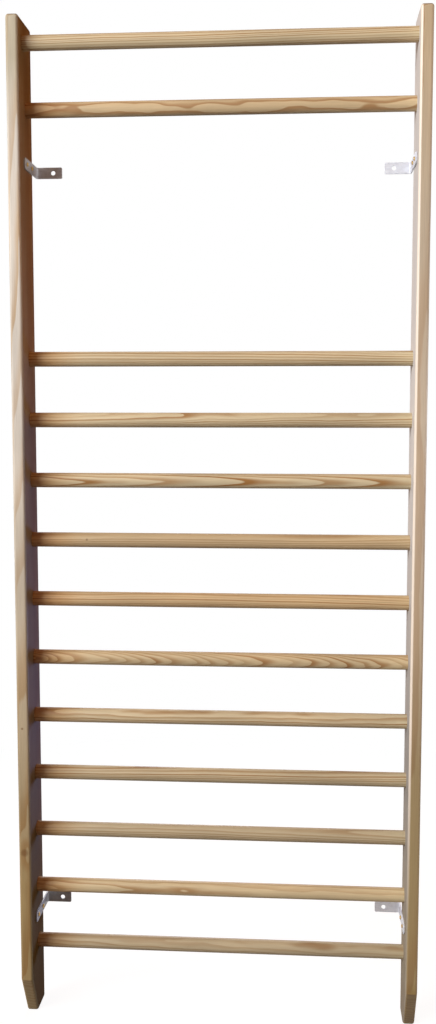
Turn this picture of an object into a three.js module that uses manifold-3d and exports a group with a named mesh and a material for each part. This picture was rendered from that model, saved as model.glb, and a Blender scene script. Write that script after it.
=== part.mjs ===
// Wooden wall bars for a gym, a school or a home: two posts, thirteen rungs and four wall brackets.
// Millimetres, +Z up. X runs along the rungs, -Y faces the user and +Y faces the wall.
// The origin is on the floor, midway between the posts and midway between their front and the wall.

import * as THREE from 'three';
import { mergeVertices } from 'three/addons/utils/BufferGeometryUtils.js';
import Module from 'manifold-3d';

const wasm = await Module();
wasm.setup();

// Layout of the ladder. Every level is one pitch below the last, and the open levels carry no rung.
const OVERALL_WIDTH = 900;
const RUNG_PITCH = 135;
const LEVEL_COUNT = 16;
const FIRST_OPEN_LEVEL = 2;
const OPEN_LEVEL_COUNT = 3;
const TOP_MARGIN = 50;
const FOOT_MARGIN = 165;

// Posts: boards on edge, all arrises rounded over, the front of each foot cut back in a long bevel.
const POST_THICKNESS = 27;
const POST_DEPTH = 120;
const ARRIS_RADIUS = 6;
const CORNER_EASE = 2;
const FOOT_BEVEL_DEPTH = 55;
const FOOT_BEVEL_HEIGHT = 100;

// Rungs: oval bars let into blind seats. The top rung is placed from the front of the posts and
// stands forward of the others, which are placed from the rear.
const RUNG_HEIGHT = 33;
const RUNG_DEPTH = 30;
const TOP_RUNG_SETBACK = 44;
const RUNG_REAR_SETBACK = 50;
const SEAT_WALL = 10;

// Wall brackets: flat strip bent to an L, one leg on the post, the other on the wall.
const STRIP_HEIGHT = 25;
const STRIP_THICKNESS = 3;
const BEND_RADIUS = 3;
const WALL_STANDOFF = 36;
const POST_LEG_LENGTH = 84;
const WALL_LEG_REACH = 60;
const POST_LEG_CORNER_RADIUS = 8;
const WALL_LEG_CORNER_RADIUS = 3;
const WALL_HOLE_RADIUS = 5;
const WALL_HOLE_FROM_END = 20.5;
const UPPER_BRACKET_DROP = 118;
const REAR_LEG_SCREW_FROM_REAR = 20;
const FRONT_LEG_SCREW_FROM_END = 20;

// Countersunk screws hold the rungs, driven from the outer faces of the posts.
const RUNG_SCREW_LENGTH = 50;
const RUNG_SCREW_RADIUS = 2.5;
const RUNG_SCREW_HEAD_RADIUS = 4.8;
const RUNG_SCREW_HEAD_HEIGHT = 3.2;
const RUNG_SCREW_RIM = 0.5;
const RUNG_SCREW_TIP = 5;

// Pan head screws hold the brackets and stop short of the outer faces by their cover.
const LEG_SCREW_COVER = 9;
const LEG_SCREW_RADIUS = 2.4;
const LEG_SCREW_HEAD_RADIUS = 4.8;
const LEG_SCREW_CROWN_RADIUS = 2.9;
const LEG_SCREW_HEAD_HEIGHT = 2.8;
const LEG_SCREW_RIM = 1;
const LEG_SCREW_TIP = 4;

// Space left between pieces that fit together, and how far a cutter runs past a face.
const FIT_GAP = 0.3;
const CUT_OVERRUN = 2;

// Facets of round forms: all round an oval, a screw or a hole, and along a quarter round.
const OVAL_FACETS = 24;
const SCREW_FACETS = 10;
const HOLE_FACETS = 16;
const CORNER_FACETS = 4;
const ARRIS_FACETS = 3;

// Places worked out from the sizes above.
const POST_HEIGHT = TOP_MARGIN + (LEVEL_COUNT - 1) * RUNG_PITCH + FOOT_MARGIN;
const FRONT_Y = -(POST_DEPTH + WALL_STANDOFF) / 2;
const REAR_Y = FRONT_Y + POST_DEPTH;
const WALL_Y = REAR_Y + WALL_STANDOFF;
const OUTER_X = OVERALL_WIDTH / 2;
const INNER_X = OUTER_X - POST_THICKNESS;
const SEAT_X = OUTER_X - SEAT_WALL;
const LEG_FRONT_Y = REAR_Y - POST_LEG_LENGTH;
const WALL_LEG_END_X = INNER_X - WALL_LEG_REACH;
const SIDES = [{ name: 'left', sign: -1 }, { name: 'right', sign: 1 }];

const levelHeight = (level) => POST_HEIGHT - TOP_MARGIN - level * RUNG_PITCH;

const carriesRung = (level) => level < FIRST_OPEN_LEVEL || level >= FIRST_OPEN_LEVEL + OPEN_LEVEL_COUNT;

// One entry for each rung, from the top down.
function rungPlaces() {
  const places = [];
  for (let level = 0; level < LEVEL_COUNT; level += 1) {
    if (carriesRung(level)) {
      const y = level === 0 ? FRONT_Y + TOP_RUNG_SETBACK : REAR_Y - RUNG_REAR_SETBACK;
      places.push({ y, z: levelHeight(level) });
    }
  }
  return places;
}

// The upper pair of brackets hangs below the second rung, the lower pair between the last two rungs.
function bracketPlaces() {
  const upper = levelHeight(FIRST_OPEN_LEVEL - 1) - UPPER_BRACKET_DROP;
  const lower = (levelHeight(LEVEL_COUNT - 2) + levelHeight(LEVEL_COUNT - 1)) / 2;
  return [{ name: 'upper', z: upper }, { name: 'lower', z: lower }];
}

// Solids for joining and cutting, and their way back to a geometry.
function solidFrom(geometry) {
  const bare = geometry.clone();
  bare.deleteAttribute('normal');
  bare.deleteAttribute('uv');
  const merged = mergeVertices(bare, 1e-4);
  const vertProperties = new Float32Array(merged.attributes.position.array);
  const triVerts = new Uint32Array(merged.index.array);
  return new wasm.Manifold(new wasm.Mesh({ numProp: 3, vertProperties, triVerts }));
}

function geometryFrom(solid) {
  const mesh = solid.getMesh();
  const geometry = new THREE.BufferGeometry();
  geometry.setAttribute('position', new THREE.BufferAttribute(mesh.vertProperties, 3));
  geometry.setIndex(new THREE.BufferAttribute(mesh.triVerts, 1));
  geometry.computeVertexNormals();
  return geometry;
}

// The same geometry on the other side of the part, with its faces still pointing out.
function mirrored(geometry) {
  const other = geometry.clone().scale(-1, 1, 1);
  const corners = other.index.array;
  for (let first = 0; first < corners.length; first += 3) {
    [corners[first], corners[first + 1]] = [corners[first + 1], corners[first]];
  }
  other.computeVertexNormals();
  return other;
}

// Turn an extrusion so that its outline lies in the Y-Z plane and its depth runs along +X.
function alongX(geometry, startX) {
  const toX = new THREE.Matrix4().makeBasis(
    new THREE.Vector3(0, 1, 0),
    new THREE.Vector3(0, 0, 1),
    new THREE.Vector3(1, 0, 0),
  );
  return geometry.applyMatrix4(toX.setPosition(startX, 0, 0));
}

// Turn an extrusion so that its outline lies in the X-Z plane and its depth runs along -Y.
function alongMinusY(geometry, startY) {
  return geometry.rotateX(Math.PI / 2).translate(0, startY, 0);
}

// An arc gets as many facets as are asked for, whatever its sweep.
function extrude(shape, depth, facets) {
  return new THREE.ExtrudeGeometry(shape, { depth, bevelEnabled: false, curveSegments: facets / 2 });
}

function ellipse(x, y, radiusX, radiusY) {
  return new THREE.Shape().absellipse(x, y, radiusX, radiusY, 0, 2 * Math.PI);
}

function roundedRectangle(left, bottom, right, top, radius) {
  const shape = new THREE.Shape();
  shape.moveTo(left + radius, bottom);
  shape.lineTo(right - radius, bottom);
  shape.absarc(right - radius, bottom + radius, radius, -Math.PI / 2, 0);
  shape.lineTo(right, top - radius);
  shape.absarc(right - radius, top - radius, radius, 0, Math.PI / 2);
  shape.lineTo(left + radius, top);
  shape.absarc(left + radius, top - radius, radius, Math.PI / 2, Math.PI);
  shape.lineTo(left, bottom + radius);
  shape.absarc(left + radius, bottom + radius, radius, Math.PI, 1.5 * Math.PI);
  return shape;
}

// Side view of a post, with the long bevel at the front of the foot.
function postOutline() {
  const radius = ARRIS_RADIUS + CORNER_EASE;
  const shape = new THREE.Shape();
  shape.moveTo(FRONT_Y + FOOT_BEVEL_DEPTH, 0);
  shape.lineTo(REAR_Y - radius, 0);
  shape.absarc(REAR_Y - radius, radius, radius, -Math.PI / 2, 0);
  shape.lineTo(REAR_Y, POST_HEIGHT - radius);
  shape.absarc(REAR_Y - radius, POST_HEIGHT - radius, radius, 0, Math.PI / 2);
  shape.lineTo(FRONT_Y + radius, POST_HEIGHT);
  shape.absarc(FRONT_Y + radius, POST_HEIGHT - radius, radius, Math.PI / 2, Math.PI);
  shape.lineTo(FRONT_Y, FOOT_BEVEL_HEIGHT);
  return shape;
}

// A plain post on the right or left, before its seats and screw holes are cut.
function postBlank(sign) {
  const board = new THREE.ExtrudeGeometry(postOutline(), {
    depth: POST_THICKNESS - 2 * ARRIS_RADIUS,
    bevelThickness: ARRIS_RADIUS,
    bevelSize: ARRIS_RADIUS,
    bevelOffset: -ARRIS_RADIUS,
    bevelSegments: ARRIS_FACETS,
    curveSegments: CORNER_FACETS / 2,
  });
  const innermost = sign > 0 ? INNER_X : -OUTER_X;
  return solidFrom(alongX(board, innermost + ARRIS_RADIUS));
}

// An oval bar of a rung's section, grown all round, between two places along X.
function ovalBar(place, fromX, toX, growth) {
  const outline = ellipse(place.y, place.z, RUNG_DEPTH / 2 + growth, RUNG_HEIGHT / 2 + growth);
  return solidFrom(alongX(extrude(outline, toX - fromX, OVAL_FACETS), fromX));
}

function seatCutter(place, sign) {
  const mouth = sign * (INNER_X - CUT_OVERRUN);
  const bottom = sign * SEAT_X;
  return ovalBar(place, Math.min(mouth, bottom), Math.max(mouth, bottom), FIT_GAP);
}

// A screw turned about its own axis: its head starts at the origin and its point is on +Z.
// Growth widens it all round, and overrun lengthens its head outwards, for the hole it sits in.
function countersunkScrew(growth, overrun) {
  const headRadius = RUNG_SCREW_HEAD_RADIUS + growth;
  const shankRadius = RUNG_SCREW_RADIUS + growth;
  return turned([
    [0, -overrun],
    [headRadius, -overrun],
    [headRadius, RUNG_SCREW_RIM],
    [shankRadius, RUNG_SCREW_HEAD_HEIGHT],
    [shankRadius, RUNG_SCREW_LENGTH - RUNG_SCREW_TIP],
    [0, RUNG_SCREW_LENGTH + growth],
  ]);
}

// A pan head stands just above the strip and its shank reaches through the strip into the post.
function panHeadScrew(growth) {
  const length = STRIP_THICKNESS + FIT_GAP + POST_THICKNESS - LEG_SCREW_COVER;
  const shankRadius = LEG_SCREW_RADIUS + growth;
  return turned([
    [0, -LEG_SCREW_HEAD_HEIGHT],
    [LEG_SCREW_CROWN_RADIUS, -LEG_SCREW_HEAD_HEIGHT],
    [LEG_SCREW_HEAD_RADIUS, -LEG_SCREW_RIM],
    [LEG_SCREW_HEAD_RADIUS, -FIT_GAP],
    [shankRadius, -FIT_GAP],
    [shankRadius, length - LEG_SCREW_TIP],
    [0, length + growth],
  ]);
}

function turned(profile) {
  const points = profile.map(([radius, along]) => new THREE.Vector2(radius, along));
  return new THREE.LatheGeometry(points, SCREW_FACETS).rotateX(Math.PI / 2);
}

// Turn a screw to point along X and put its head at a place.
function drivenAlongX(screw, direction, x, y, z) {
  return solidFrom(screw.rotateY((direction * Math.PI) / 2).translate(x, y, z));
}

function rungScrew(place, sign, growth, overrun) {
  const headX = sign * (OUTER_X - FIT_GAP);
  return drivenAlongX(countersunkScrew(growth, overrun), -sign, headX, place.y, place.z);
}

// Two screws in each bracket: one near the rear of the post, one near the front end of the leg.
function legScrewPlaces(bracket) {
  const rear = REAR_Y - REAR_LEG_SCREW_FROM_REAR;
  const front = LEG_FRONT_Y + FRONT_LEG_SCREW_FROM_END;
  return [{ y: rear, z: bracket.z }, { y: front, z: bracket.z }];
}

function legScrew(place, sign, growth) {
  const headX = sign * (INNER_X - FIT_GAP - STRIP_THICKNESS);
  return drivenAlongX(panHeadScrew(growth), sign, headX, place.y, place.z);
}

function post(sign, rungs, brackets) {
  let solid = postBlank(sign);
  for (const place of rungs) {
    solid = solid.subtract(seatCutter(place, sign));
    solid = solid.subtract(rungScrew(place, sign, FIT_GAP, CUT_OVERRUN));
  }
  for (const place of brackets.flatMap(legScrewPlaces)) {
    solid = solid.subtract(legScrew(place, sign, FIT_GAP));
  }
  return geometryFrom(solid);
}

function rung(place) {
  const reach = SEAT_X - FIT_GAP;
  let solid = ovalBar(place, -reach, reach, 0);
  for (const side of SIDES) {
    solid = solid.subtract(rungScrew(place, side.sign, FIT_GAP, CUT_OVERRUN));
  }
  return geometryFrom(solid);
}

// Plan view of the bent strip on the right side: along the post to the wall, then along the wall.
function stripPlan() {
  const outer = INNER_X - FIT_GAP;
  const inner = outer - STRIP_THICKNESS;
  const bendX = inner - BEND_RADIUS;
  const bendY = WALL_Y - STRIP_THICKNESS - BEND_RADIUS;
  const shape = new THREE.Shape();
  shape.moveTo(inner, LEG_FRONT_Y);
  shape.lineTo(outer, LEG_FRONT_Y);
  shape.lineTo(outer, bendY);
  shape.absarc(bendX, bendY, BEND_RADIUS + STRIP_THICKNESS, 0, Math.PI / 2);
  shape.lineTo(WALL_LEG_END_X, WALL_Y);
  shape.lineTo(WALL_LEG_END_X, WALL_Y - STRIP_THICKNESS);
  shape.lineTo(bendX, WALL_Y - STRIP_THICKNESS);
  shape.absarc(bendX, bendY, BEND_RADIUS, Math.PI / 2, 0, true);
  return shape;
}

// Rounds the two corners at the front end of the leg on the post, in side view.
function legEndTrim(low, high) {
  const radius = Math.min(POST_LEG_CORNER_RADIUS, STRIP_HEIGHT / 2 - FIT_GAP);
  const beyondY = WALL_Y + STRIP_HEIGHT;
  const outline = roundedRectangle(LEG_FRONT_Y, low, beyondY, high, radius);
  const startX = WALL_LEG_END_X - CUT_OVERRUN;
  return solidFrom(alongX(extrude(outline, INNER_X - startX, CORNER_FACETS), startX));
}

// Rounds the two corners at the free end of the leg on the wall, in front view.
function wallEndTrim(low, high) {
  const radius = Math.min(WALL_LEG_CORNER_RADIUS, STRIP_HEIGHT / 2 - FIT_GAP);
  const beyondX = INNER_X + STRIP_HEIGHT;
  const outline = roundedRectangle(WALL_LEG_END_X, low, beyondX, high, radius);
  const startY = WALL_Y + CUT_OVERRUN;
  const depth = startY - LEG_FRONT_Y + CUT_OVERRUN;
  return solidFrom(alongMinusY(extrude(outline, depth, CORNER_FACETS), startY));
}

function wallHoleDrill(z) {
  const hole = ellipse(WALL_LEG_END_X + WALL_HOLE_FROM_END, z, WALL_HOLE_RADIUS, WALL_HOLE_RADIUS);
  const depth = STRIP_THICKNESS + 2 * CUT_OVERRUN;
  return solidFrom(alongMinusY(extrude(hole, depth, HOLE_FACETS), WALL_Y + CUT_OVERRUN));
}

// A bracket is bent on its plan, its ends are rounded, and it is drilled for the wall and the post.
function bracket(place, sign) {
  const low = place.z - STRIP_HEIGHT / 2;
  const high = place.z + STRIP_HEIGHT / 2;
  const plan = extrude(stripPlan(), STRIP_HEIGHT, CORNER_FACETS).translate(0, 0, low);
  let solid = solidFrom(plan).intersect(legEndTrim(low, high)).intersect(wallEndTrim(low, high));
  solid = solid.subtract(wallHoleDrill(place.z));
  for (const screwPlace of legScrewPlaces(place)) {
    solid = solid.subtract(legScrew(screwPlace, 1, FIT_GAP));
  }
  const rightHand = geometryFrom(solid);
  return sign > 0 ? rightHand : mirrored(rightHand);
}

// Finishes: planed and lacquered pine, zinc-plated strip, yellow-passivated screws.
const pine = () => new THREE.MeshStandardMaterial({ color: 0xcfae82, roughness: 0.5, metalness: 0 });
const zinc = () => new THREE.MeshStandardMaterial({ color: 0xb4b7bd, roughness: 0.38, metalness: 1 });
const yellowZinc = () => new THREE.MeshStandardMaterial({ color: 0xb08d4f, roughness: 0.4, metalness: 1 });

const wallBars = new THREE.Group();

function addPiece(name, geometry, material) {
  const mesh = new THREE.Mesh(geometry, material);
  mesh.name = name;
  wallBars.add(mesh);
}

const rungs = rungPlaces();
const brackets = bracketPlaces();
const numbered = (index) => String(index + 1).padStart(2, '0');

for (const side of SIDES) {
  addPiece(`${side.name}_post`, post(side.sign, rungs, brackets), pine());
}

rungs.forEach((place, index) => {
  addPiece(`rung_${numbered(index)}`, rung(place), pine());
  for (const side of SIDES) {
    const screw = geometryFrom(rungScrew(place, side.sign, 0, 0));
    addPiece(`rung_screw_${side.name}_${numbered(index)}`, screw, yellowZinc());
  }
});

for (const place of brackets) {
  for (const side of SIDES) {
    addPiece(`${place.name}_${side.name}_bracket`, bracket(place, side.sign), zinc());
    legScrewPlaces(place).forEach((screwPlace, index) => {
      const screw = geometryFrom(legScrew(screwPlace, side.sign, 0));
      addPiece(`${place.name}_${side.name}_bracket_screw_${index + 1}`, screw, yellowZinc());
    });
  }
}

export default wallBars;
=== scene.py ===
"""Wooden wall bars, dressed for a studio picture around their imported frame.

Every piece of the frame is modelled again at its own place, with rounded edges, bored holes and driven
screws, and gets its own finish: lacquered pine, zinc-plated strip or yellow-passivated steel.
Lengths are metres, and millimetres where a name ends in _mm. X runs along the rungs, -Y faces the user,
+Y faces the wall and +Z is up.
"""

from __future__ import annotations

import logging
import math
from collections.abc import Callable, Iterator, Sequence
from contextlib import contextmanager
from dataclasses import dataclass, replace
from enum import Enum

import bmesh
import bpy
from bpy.types import Material, Node, NodeSocket, NodeTree, Object
from mathutils import Euler, Matrix, Vector

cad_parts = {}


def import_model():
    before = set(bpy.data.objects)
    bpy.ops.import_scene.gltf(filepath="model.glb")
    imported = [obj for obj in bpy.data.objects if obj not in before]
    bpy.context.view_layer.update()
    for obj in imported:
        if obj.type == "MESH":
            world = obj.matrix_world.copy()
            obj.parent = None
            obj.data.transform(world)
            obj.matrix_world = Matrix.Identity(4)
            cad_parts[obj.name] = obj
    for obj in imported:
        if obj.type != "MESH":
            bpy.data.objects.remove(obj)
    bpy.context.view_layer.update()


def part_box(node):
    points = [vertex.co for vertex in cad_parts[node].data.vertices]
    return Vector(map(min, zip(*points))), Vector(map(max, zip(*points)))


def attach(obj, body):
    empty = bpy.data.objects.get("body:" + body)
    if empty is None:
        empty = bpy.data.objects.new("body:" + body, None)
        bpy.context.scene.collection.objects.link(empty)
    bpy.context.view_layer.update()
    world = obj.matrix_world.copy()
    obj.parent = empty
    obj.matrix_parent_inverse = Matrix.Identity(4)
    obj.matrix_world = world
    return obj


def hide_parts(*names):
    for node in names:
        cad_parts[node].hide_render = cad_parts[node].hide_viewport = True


LOG = logging.getLogger("wall_bars")

MM = 0.001
PER_MM = 1 / MM
# Points closer than this are at one place.
TOUCH = 0.01 * MM
QUARTER_TURN = math.pi / 2
# An eased edge has this many flats, and an edge that turns by more than this angle stays crisp.
EASE_SEGMENTS = 2
CRISP_ANGLE = math.radians(35)
WHITE = "#ffffff"
BODY = "root"

# What feeds a node: the socket of another one, or that node itself for its first output.
Feed = Node | NodeSocket
# Takes the corners of a vertex, an edge or a face, and says whether it is one of those sought.
Test = Callable[[list[Vector]], bool]
Span = tuple[float, float]
Triple = tuple[float, float, float]


class Side(Enum):
    """The two sides of the part, with the sign of X there."""

    LEFT = -1
    RIGHT = 1

    @property
    def label(self) -> str:
        """The side's name as the frame's nodes spell it."""
        return self.name.lower()


class Row(Enum):
    """The two rows of wall brackets."""

    UPPER = "upper"
    LOWER = "lower"


class Element(Enum):
    """What a selection in edit mode picks."""

    VERTEX = "VERT"
    EDGE = "EDGE"
    FACE = "FACE"


class Cut(Enum):
    """How a piece was sawn: the way from its middle to the pith, across the face and into it."""

    FLAT = (0.15, 1.0)
    RIFT = (-0.75, 0.66)
    QUARTER = (-1.0, 0.1)
    EDGE = (1.0, 0.2)


class Slot(Enum):
    """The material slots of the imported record."""

    POSTS = "pine_posts"
    RUNGS = "pine_rungs"
    STRIP = "zinc_strip"
    SCREWS = "yellow_screws"


# Workbench: selecting, shaping and cutting with operators.


def select_only(*objects: Object) -> None:
    """Select these objects and nothing else, and make the first one active.

    Args:
        objects: the objects to select.
    """
    bpy.ops.object.select_all(action="DESELECT")
    for each in objects:
        each.select_set(True)
    bpy.context.view_layer.objects.active = objects[0]


@contextmanager
def edit_mode(piece: Object) -> Iterator[None]:
    """Hold one piece in edit mode.

    Args:
        piece: the mesh object to edit.

    Returns:
        A context in which the mesh operators act on the piece.
    """
    select_only(piece)
    bpy.ops.object.mode_set(mode="EDIT")
    try:
        yield
    finally:
        bpy.ops.object.mode_set(mode="OBJECT")


def pick(piece: Object, element: Element, test: Test) -> None:
    """Select the vertices, edges or faces of a piece in edit mode by where they are.

    Args:
        piece: the mesh object in edit mode.
        element: what to select.
        test: takes the corners of one element and says whether to select it.
    """
    bpy.ops.mesh.select_mode(type=element.value)
    bpy.ops.mesh.select_all(action="DESELECT")
    mesh = bmesh.from_edit_mesh(piece.data)
    if element is Element.VERTEX:
        for vertex in mesh.verts:
            vertex.select = test([vertex.co])
    else:
        for each in mesh.edges if element is Element.EDGE else mesh.faces:
            each.select = test([vertex.co for vertex in each.verts])
    mesh.select_flush_mode()
    bmesh.update_edit_mesh(piece.data)


def all_at(axis: int, place: float) -> Test:
    """A test for elements that lie at one place along an axis.

    Args:
        axis: 0, 1 or 2 for X, Y or Z.
        place: the coordinate along it.

    Returns:
        A test for pick().
    """
    return lambda corners: all(abs(corner[axis] - place) < TOUCH for corner in corners)


def named(name: str) -> Object:
    """Give the object that an operator has just added its name.

    Args:
        name: the object's and its mesh's name.

    Returns:
        The object.
    """
    piece = bpy.context.active_object
    piece.name = name
    piece.data.name = name
    return piece


def settle(piece: Object) -> Object:
    """Put a piece's place, turn and scale into its mesh.

    Args:
        piece: the object to settle.

    Returns:
        The same object, at the origin, unturned and unscaled.
    """
    select_only(piece)
    bpy.ops.object.transform_apply(location=True, rotation=True, scale=True)
    return piece


def block(name: str, low: Vector, high: Vector) -> Object:
    """Start a piece as a block between two corners.

    Args:
        name: the piece's name.
        low: its lowest corner.
        high: its highest corner.

    Returns:
        The block, settled.
    """
    bpy.ops.object.select_all(action="DESELECT")
    bpy.ops.mesh.primitive_cube_add(size=1, location=(low + high) / 2, scale=high - low)
    return settle(named(name))


def round_bar(name: str, low: Vector, high: Vector, facets: int) -> Object:
    """Start a piece as a bar along X with an oval section that fills a box.

    Args:
        name: the piece's name.
        low: the box's lowest corner.
        high: the box's highest corner.
        facets: flats round the section.

    Returns:
        The bar, settled.
    """
    size = high - low
    bpy.ops.object.select_all(action="DESELECT")
    bpy.ops.mesh.primitive_cylinder_add(
        vertices=facets,
        radius=0.5,
        depth=1,
        location=(low + high) / 2,
        rotation=(0, QUARTER_TURN, 0),
        scale=(size.z, size.y, size.x),
    )
    return settle(named(name))


def apply_modifier(piece: Object, kind: str, **settings: object) -> None:
    """Add a modifier to a piece and apply it.

    Args:
        piece: the mesh object.
        kind: the modifier's type.
        settings: its properties.
    """
    select_only(piece)
    modifier = piece.modifiers.new(kind.lower(), kind)
    for key, value in settings.items():
        setattr(modifier, key, value)
    bpy.ops.object.modifier_apply(modifier=modifier.name)


def ease_edges(piece: Object, width: float, angle_deg: float) -> None:
    """Break the sharp edges of a piece.

    Args:
        piece: the mesh object.
        width: how wide the eased edges are.
        angle_deg: edges that turn by less than this are left.
    """
    turn = math.radians(angle_deg)
    apply_modifier(
        piece, "BEVEL", width=width, segments=EASE_SEGMENTS, limit_method="ANGLE", angle_limit=turn
    )


def discard(piece: Object) -> None:
    """Remove a helper object and its mesh."""
    bpy.data.meshes.remove(piece.data)


def cut_away(piece: Object, cutter: Object) -> None:
    """Subtract a cutter from a piece and discard it.

    Args:
        piece: the mesh object that stays.
        cutter: a closed mesh object.
    """
    apply_modifier(piece, "BOOLEAN", operation="DIFFERENCE", solver="EXACT", object=cutter)
    discard(cutter)


def mend(piece: Object) -> None:
    """Fill in the facets that cutting can lose, and turn every face outward.

    Args:
        piece: the mesh object, with all its cuts made.
    """
    with edit_mode(piece):
        bpy.ops.mesh.select_all(action="SELECT")
        bpy.ops.mesh.fill_holes()
        bpy.ops.mesh.select_all(action="SELECT")
        bpy.ops.mesh.normals_make_consistent(inside=False)


def copy_of(pattern: Object, name: str, place: Matrix) -> Object:
    """Copy a pattern to another place, with a mesh of its own.

    Args:
        pattern: the modelled object.
        name: the copy's name.
        place: where the copy goes, from the pattern's own place.

    Returns:
        The copy, settled.
    """
    piece = pattern.copy()
    piece.data = pattern.data.copy()
    piece.name = name
    piece.data.name = name
    bpy.context.scene.collection.objects.link(piece)
    piece.matrix_world = place
    return settle(piece)


def joined(pieces: Sequence[Object]) -> Object:
    """Join several meshes into the first one.

    Args:
        pieces: mesh objects that don't overlap.

    Returns:
        The first object, which now holds them all.
    """
    select_only(*pieces)
    bpy.ops.object.join()
    return pieces[0]


def smooth(piece: Object) -> None:
    """Shade the rounded edges of a finished piece smooth while its flat faces stay flat.

    Args:
        piece: the finished mesh object.
    """
    select_only(piece)
    bpy.ops.object.shade_smooth_by_angle(angle=CRISP_ANGLE)
    apply_modifier(piece, "WEIGHTED_NORMAL", keep_sharp=True)


def screw_place(node: str, facing: int, turn: float) -> Matrix:
    """Where a screw goes: its head at one end of its node's box, its point at the other.

    Args:
        node: the screw's node of the frame.
        facing: 1 where the head faces +X, -1 where it faces -X.
        turn: how far the screw is turned about its axis.

    Returns:
        The matrix from the pattern to its place.
    """
    low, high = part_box(node)
    head = high.x if facing > 0 else low.x
    place = Vector((head, (low.y + high.y) / 2, (low.z + high.z) / 2))
    outwards = Matrix.Rotation(facing * QUARTER_TURN, 4, "Y")
    return Matrix.Translation(place) @ outwards @ Matrix.Rotation(turn, 4, "Z")


def fit(piece: Object, node: str, material: Material) -> None:
    """Dress a finished piece and let it stand for its node of the frame.

    Args:
        piece: the finished mesh object.
        node: the node that it replaces.
        material: its finish.
    """
    piece.data.materials.clear()
    piece.data.materials.append(material)
    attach(piece, BODY)
    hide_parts(node)
    LOG.info("%s stands for %s with %d faces", piece.name, node, len(piece.data.polygons))


# Finishes.


def linear(hex_colour: str) -> tuple[float, float, float, float]:
    """Turn an sRGB hex colour into linear values, by the numbers of the sRGB standard.

    Args:
        hex_colour: six hex digits after a hash.

    Returns:
        Red, green, blue and an alpha of 1.
    """
    shares = [int(hex_colour[i : i + 2], 16) / 255 for i in (1, 3, 5)]
    values = [s / 12.92 if s <= 0.04045 else ((s + 0.055) / 1.055) ** 2.4 for s in shares]
    return values[0], values[1], values[2], 1.0


def add_node(tree: NodeTree, kind: str, inputs: dict[str | int, object], **settings: object) -> Node:
    """Add a shader node with its settings, values and links.

    Args:
        tree: the node tree.
        kind: the node's type, without the word that all shader nodes start with.
        inputs: for each socket, by name or number, a value, the socket that feeds it, or the node whose
            first output does.
        settings: the node's own properties.

    Returns:
        The node.
    """
    node = tree.nodes.new(f"ShaderNode{kind}")
    for key, value in settings.items():
        setattr(node, key, value)
    # The forms of a node share their sockets' names, and only those of the form in use are enabled.
    usable = [socket for socket in node.inputs if socket.enabled]
    for key, value in inputs.items():
        socket = node.inputs[key] if isinstance(key, int) else next(s for s in usable if s.name == key)
        if isinstance(value, Node):
            value = next(output for output in value.outputs if output.enabled)
        if isinstance(value, NodeSocket):
            tree.links.new(value, socket)
        else:
            socket.default_value = value
    return node


def empty_material(name: str) -> Material:
    """Make a material with an empty node tree.

    Args:
        name: the material's name.

    Returns:
        The material.
    """
    material = bpy.data.materials.new(name)
    material.use_nodes = True
    material.node_tree.nodes.clear()
    return material


@dataclass(frozen=True)
class Knot:
    """A branch that comes through the front of a piece, at x and z in the part's frame.

    Its darkening is the share of the wood's colour that the knot's own takes over.
    """

    x_mm: float
    z_mm: float
    radius_mm: float
    darkening: float = 0.85


@dataclass(frozen=True)
class Sawn:
    """How one piece lay in its log, and how its wood differs from its neighbours'.

    The slope lets the grain run out at the face, which draws the arches, and the drift lets it wander
    across the face. Tone and tint are the wood's own lightness and hue, bold is how strongly its years
    show, and flame is how much they ripple.
    """

    cut: Cut
    pith_mm: float
    slope_deg: float = 0.0
    drift_deg: float = 0.0
    ring_mm: float = 4.0
    tone: float = 1.0
    tint: str = WHITE
    bold: float = 1.0
    flame: float = 1.0
    knots: tuple[Knot, ...] = ()


@dataclass(frozen=True)
class Blank:
    """A piece of wood while its material is made.

    Place and normal are its Object coordinates and its faces' normals in the node tree. The grain follows
    the unit vector along, which is X or Z.
    """

    tree: NodeTree
    place: NodeSocket
    normal: NodeSocket
    centre: Vector
    along: Vector
    sawn: Sawn

    @property
    def upright(self) -> bool:
        """Whether the grain runs up the piece."""
        return self.along.z > self.along.x


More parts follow.
